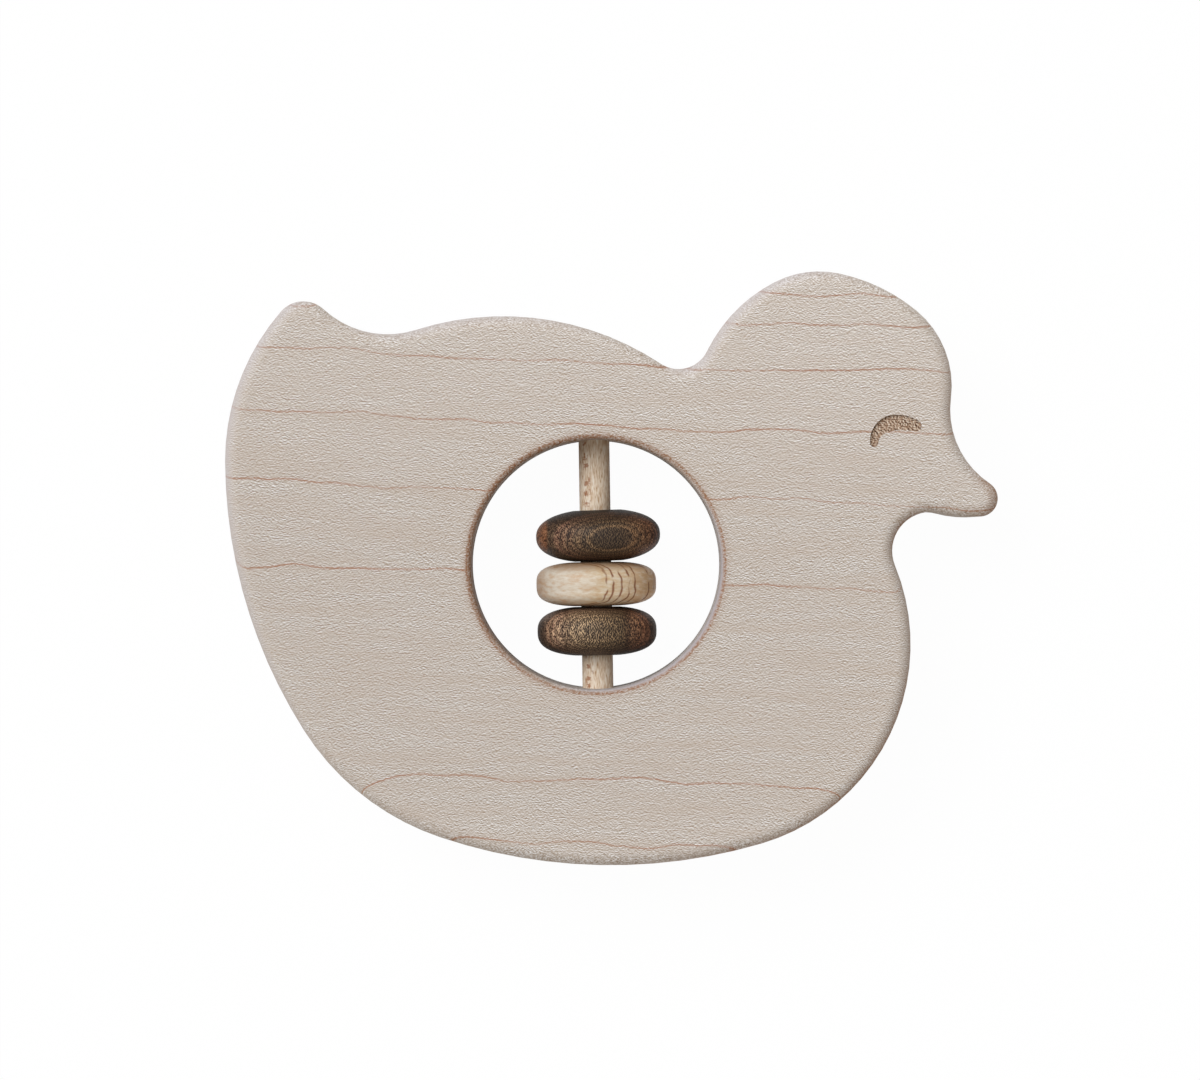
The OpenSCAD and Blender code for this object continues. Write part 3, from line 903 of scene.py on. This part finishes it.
# %% [markdown]
# ## Walnut
# The dark rings are turned walnut. Their growth layers lie nearly level with the front, so the
# rounded rim cuts them into ovals, one inside the other, as on a map of a hill. A ramp over the
# height across the layers holds the bands, and its alpha says how many tan pores a band has. The
# pores are short ticks along the dowel's direction, drawn like the flecks of the maple and as
# coarse as they need to show, and the lathe leaves faint lines around the ring. The upper ring has
# a red-brown edge of younger wood at its left end. A second ramp tints the wood from the ring's
# left to its right; it is partly the wood's tone and partly painted light, with a painted
# highlight left of the middle and darker ends. Both flat sides are darker with painted shade, and
# the ring is lightest at a crest height. Low gloss keeps the wood deep and dark.

# %% Turned walnut
REACH = 10.0
RAGGED_BANDS = 0.5
PORE = (0.17, 0.34, 0.17)
LATHE = (6.0, 0.24, 6.0)
SHADED_SIDES = (1.7, 3.7)
SIDE_SHADE_TONE = 0.45
WANDER = 0.7
SAP_EDGE = 0.2
PORE_DEPTH = 0.08 * MM


def walnut(name, piece, node, layer_turn, sapwood, crest, lightness, bands, tints_and_light):
    """Walnut about a ring's middle, with places in mm: younger wood left of a place, a lightest
    line of painted light at the crest's height with painted shade towards both flat sides, bands
    across the layers as (height, colour, share of pores), and tints from left to right as
    (place, colour), which hold the wood's tone and painted light."""
    tree = new_finish(name, piece)
    place = add(tree, "TexCoord")
    low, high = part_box(node)
    centred = add(tree, "VectorMath", {
        0: place.outputs["Object"], 1: (low + high) / 2,
    }, operation="SUBTRACT").outputs["Vector"]
    wood = add(tree, "Mapping", {
        "Vector": centred, "Scale": (1 / MM,) * 3, "Rotation": layer_turn,
    }).outputs["Vector"]
    drift = add(tree, "TexNoise", {
        "Vector": wood, "Scale": WANDER, "Detail": 5.0, "Roughness": 0.6,
    }).outputs["Fac"]
    height = add(tree, "SeparateXYZ", {"Vector": wood}).outputs["Z"]
    height = add(tree, "Math", {
        0: drift, 1: RAGGED_BANDS, 2: height,
    }, operation="MULTIPLY_ADD").outputs[0]
    spread = add(tree, "MapRange", {
        "Value": height,
        "From Min": RAGGED_BANDS / 2 - REACH, "From Max": RAGGED_BANDS / 2 + REACH,
    }).outputs["Result"]
    layers = set_stops(add(tree, "ValToRGB", {"Fac": spread}), [
        ((band + REACH) / (2 * REACH), linear(code)[:3] + [pores]) for band, code, pores in bands
    ]).outputs
    rightwards, upwards, _ = add(tree, "SeparateXYZ", {"Vector": centred}).outputs
    # The tint ramp holds the wood's tone, a painted highlight left of the middle and painted shade
    # at the ends.
    left_right = add(tree, "MapRange", {
        "Value": rightwards, "From Min": -REACH * MM, "From Max": REACH * MM,
    }).outputs["Result"]
    tint_and_light = set_stops(add(tree, "ValToRGB", {"Fac": left_right}), [
        ((at + REACH) / (2 * REACH), linear(code)) for at, code in tints_and_light
    ]).outputs["Color"]
    # Painted light and shade: lightest at the crest's height, darker towards both flat sides.
    side = add(tree, "Math", {0: upwards, 1: crest * MM}, operation="SUBTRACT").outputs[0]
    side = add(tree, "Math", {0: side}, operation="ABSOLUTE").outputs[0]
    side = add(tree, "MapRange", {
        "Value": side, "From Min": SHADED_SIDES[0] * MM, "From Max": SHADED_SIDES[1] * MM,
        "To Min": lightness, "To Max": SIDE_SHADE_TONE * lightness,
    }).outputs["Result"]
    tint_and_light = add(tree, "VectorMath", {0: tint_and_light, 1: side}, operation="MULTIPLY").outputs["Vector"]
    ticks = add(tree, "VectorMath", {
        0: wood, 1: per_mm(*PORE),
    }, operation="MULTIPLY").outputs["Vector"]
    beside = add(tree, "VectorMath", {0: ticks, 1: (1, 0, 0)}, operation="ADD").outputs["Vector"]
    pore = 0.5
    for point, operation in ((ticks, "ADD"), (beside, "SUBTRACT")):
        noise = add(tree, "TexNoise", {"Vector": point, "Scale": 1.0, "Detail": 2.0}).outputs["Fac"]
        pore = add(tree, "Math", {0: pore, 1: noise}, operation=operation).outputs[0]
    rounds = add(tree, "VectorMath", {0: wood, 1: per_mm(*LATHE)}, operation="MULTIPLY")
    lathe = add(tree, "TexNoise", {
        "Vector": rounds.outputs["Vector"], "Scale": 1.0, "Detail": 1.0,
    }).outputs["Fac"]
    tan = add(tree, "MapRange", {
        "Value": pore, "From Min": 0.50, "From Max": 0.62,
    }).outputs["Result"]
    tan = add(tree, "Math", {0: tan, 1: layers["Alpha"]}, operation="MULTIPLY").outputs[0]
    black = add(tree, "MapRange", {
        "Value": pore, "From Min": 0.50, "From Max": 0.38, "To Max": 0.95,
    }).outputs["Result"]
    line = add(tree, "MapRange", {
        "Value": lathe, "From Min": 0.50, "From Max": 0.28, "To Max": 0.5,
    }).outputs["Result"]
    black = add(tree, "Math", {0: black, 1: line}, operation="MAXIMUM").outputs[0]
    sap = add(tree, "MapRange", {
        "Value": rightwards,
        "From Min": (sapwood + SAP_EDGE) * MM, "From Max": (sapwood - SAP_EDGE) * MM,
    }).outputs["Result"]
    colour = add(tree, "Mix", {
        0: sap, 6: layers["Color"], 7: linear("#84553A"),
    }, data_type="RGBA").outputs[2]
    colour = add(tree, "Mix", {
        0: tan, 6: colour, 7: linear("#CBAE8C"),
    }, data_type="RGBA").outputs[2]
    colour = add(tree, "Mix", {
        0: black, 6: colour, 7: linear("#1E1510"),
    }, data_type="RGBA").outputs[2]
    colour = add(tree, "VectorMath", {0: colour, 1: tint_and_light}, operation="MULTIPLY").outputs["Vector"]
    relief = add(tree, "Math", {0: lathe, 1: 0.6, 2: pore}, operation="MULTIPLY_ADD").outputs[0]
    bump = add(tree, "Bump", {"Height": relief, "Strength": 0.35, "Distance": PORE_DEPTH})
    rough = add(tree, "MapRange", {"Value": pore, "To Min": 0.7, "To Max": 0.45}).outputs["Result"]
    surface = add(tree, "BsdfPrincipled", {
        "Base Color": colour, "Roughness": rough, "IOR": 1.5, "Specular IOR Level": 0.2,
        "Normal": bump.outputs["Normal"],
    })
    add(tree, "OutputMaterial", {"Surface": surface.outputs[0]})
    print(name, "nodes:", len(tree.nodes))


walnut(
    "turned_walnut_upper", upper_ring, "ring_top",
    layer_turn=(math.radians(-13), math.radians(-14), 0), sapwood=-7.9, crest=-0.4, lightness=1.12,
    bands=[
        (-10, "#54443A", 0.50), (-9.0, "#3C3029", 0.25), (-8.2, "#6A5244", 0.50),
        (-7.2, "#40322A", 0.25), (-6.2, "#5E4639", 0.45), (-4.5, "#3A2C25", 0.20),
        (0, "#33261F", 0.15), (4.6, "#3E2E27", 0.25), (5.3, "#80594C", 0.50),
        (5.9, "#4C382F", 0.25), (6.3, "#805B4A", 0.60), (6.8, "#4A382F", 0.25),
        (7.2, "#745544", 0.55), (7.6, "#47372D", 0.30), (8.0, "#735843", 0.60),
        (8.25, "#45372D", 0.30), (8.5, "#4A3B31", 0.35), (8.75, "#8A6D51", 0.75),
        (8.95, "#42352D", 0.25), (10, "#3A2F28", 0.2),
    ],
    tints_and_light=[
        (-9.6, "#FFFFFF"), (-7.5, "#FFF8F2"), (-4.5, "#DDD6D0"), (-0.6, "#C5BFB7"),
        (3.2, "#D6CFC6"), (7.5, "#FFE9DA"), (9.6, "#BAA9A0"),
    ],
)
walnut(
    "turned_walnut_lower", lower_ring, "ring_bottom",
    layer_turn=(math.radians(2), math.radians(-2), 0), sapwood=-REACH, crest=0.6, lightness=1.4,
    bands=[
        (-10, "#5A493B", 0.9), (-9.0, "#463930", 0.4), (-8.2, "#6C5645", 0.8),
        (-7.3, "#45362E", 0.3), (-6.2, "#80624F", 0.6), (-5.0, "#44332A", 0.2),
        (4.3, "#42312A", 0.2), (5.0, "#86624F", 0.5), (5.5, "#4A372D", 0.25),
        (6.0, "#8E6A58", 0.7), (6.5, "#4C3A30", 0.30), (6.9, "#80624F", 0.8),
        (7.3, "#45362E", 0.30), (7.6, "#7C6151", 0.9), (7.9, "#43352D", 0.35),
        (8.2, "#6C5645", 1.0), (8.5, "#463930", 0.40), (8.8, "#645142", 1.0),
        (9.1, "#463930", 0.50), (10, "#5A493B", 1.0),
    ],
    tints_and_light=[
        (-9.2, "#929292"), (-7.8, "#F8F5F3"), (-5.4, "#FDFAF9"), (-4.8, "#CCC7C2"),
        (-4.0, "#F1EFE9"), (-2.0, "#E7E4DC"), (0, "#DDD9D0"), (1.8, "#C3BEB3"), (3.8, "#AEA89C"),
        (4.6, "#998C82"), (5.5, "#C7B2A6"), (7.5, "#D0B6A8"), (9.2, "#A2968E"),
    ],
)

# %% [markdown]
# ## Camera
# The toy lies on its back and the camera looks straight down at it with a long lens, so little
# side wall shows. The dowel leans by about a degree in the picture, which is a turn of the camera.

# %% Camera above the board
CAMERA_HEIGHT = 1000 * MM
CAMERA_OVER = Vector((-1.91, 4.66)) * MM
CAMERA_TURN = math.radians(-0.947)
FRAME_WIDTH = 184.6 * MM
SENSOR = 36

lens = bpy.data.cameras.new("camera")
lens.sensor_width = SENSOR
lens.lens = SENSOR * CAMERA_HEIGHT / FRAME_WIDTH
lens.clip_start = 0.01
camera = bpy.data.objects.new("camera", lens)
camera.location = (*CAMERA_OVER, front + CAMERA_HEIGHT)
camera.rotation_euler = (0, 0, CAMERA_TURN)
bpy.context.scene.collection.objects.link(camera)
bpy.context.scene.camera = camera
print("focal length in mm:", round(lens.lens, 1))

# %% [markdown]
# ## Floor and light
# The picture has a pure white ground and soft light from the upper left. A large lamp stands
# there, and the world fills in from all around. Together they light a level face about as brightly
# as its colour is written. The lamp is a trace cooler than the fill, as daylight is beside a
# room's light. The floor and the world look white to the camera at a strength of one, so no light
# is added for it, and a small part of the floor stays a plain diffuse white that takes the shadow.
# The floor lies a hair below the board, so that the two faces don't share a plane.

# %% Floor
FLOOR_HALF = 2.0
FLOOR_SHADE = 0.025
FLOOR_GAP = 0.05 * MM


def seen_directly(tree):
    """One where the camera, a reflection or a clear material looks at the ground."""
    path = add(tree, "LightPath")
    seen = add(tree, "Math", {
        0: path.outputs["Is Camera Ray"], 1: path.outputs["Is Glossy Ray"],
    }, operation="MAXIMUM").outputs[0]
    return add(tree, "Math", {
        0: seen, 1: path.outputs["Is Transmission Ray"],
    }, operation="MAXIMUM").outputs[0]


ground = bmesh.new()
bmesh.ops.create_grid(ground, x_segments=1, y_segments=1, size=FLOOR_HALF)
bmesh.ops.translate(ground, verts=ground.verts, vec=(0, 0, board_low.z - FLOOR_GAP))
ground_mesh = bpy.data.meshes.new("floor")
ground.to_mesh(ground_mesh)
ground.free()
floor = bpy.data.objects.new("floor", ground_mesh)
bpy.context.scene.collection.objects.link(floor)
floor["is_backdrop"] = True
tree = new_finish("white_paper", floor)
plain = add(tree, "BsdfDiffuse", {"Color": linear("#F4F4F4")})
glow = add(tree, "Emission", {"Strength": 1.0})
seen = add(tree, "Math", {0: seen_directly(tree), 1: 1 - FLOOR_SHADE}, operation="MULTIPLY")
mixed = add(tree, "MixShader", {0: seen.outputs[0], 1: plain.outputs[0], 2: glow.outputs[0]})
add(tree, "OutputMaterial", {"Surface": mixed.outputs[0]})

# %% [markdown]
# The world fills in with a warm light, and to the camera it is plain white, as the floor is. One
# disc lamp gives the soft shade on the lower right.

# %% World and lamp
FILL = 0.42
FILL_COLOUR = (1.05, 1.0, 0.93, 1.0)
LAMP_FROM = Vector((-2.0, 1.875, 3.625))
LAMP_SIZE = 3.25
LAMP_POWER = 171.0
LAMP_COLOUR = (0.97, 1.0, 1.04)

world = bpy.data.worlds.new("studio")
world.use_nodes = True
tree = world.node_tree
tree.nodes.clear()
fill = add(tree, "Background", {"Color": FILL_COLOUR, "Strength": FILL})
white = add(tree, "Background", {"Color": (1.0, 1.0, 1.0, 1.0), "Strength": 1.0})
mixed = add(tree, "MixShader", {0: seen_directly(tree), 1: fill.outputs[0], 2: white.outputs[0]})
add(tree, "OutputWorld", {"Surface": mixed.outputs[0]})
bpy.context.scene.world = world

lamp = bpy.data.lights.new("lamp", "AREA")
lamp.shape = "DISK"
lamp.size = LAMP_SIZE
lamp.energy = LAMP_POWER
lamp.color = LAMP_COLOUR
lamp_object = bpy.data.objects.new("lamp", lamp)
lamp_object.location = LAMP_FROM
lamp_object.rotation_euler = LAMP_FROM.to_track_quat("Z", "Y").to_euler()
bpy.context.scene.collection.objects.link(lamp_object)
bpy.context.scene.view_settings.view_transform = "Standard"
print("fill", FILL, "lamp in W", LAMP_POWER)

# %% [markdown]
# ## Sizes
# Looks must not change the toy's size, so the box of the finished pieces is printed.

# %% Record the size
low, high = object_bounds()
print("visual size in mm:", [round(side / MM, 2) for side in high - low])
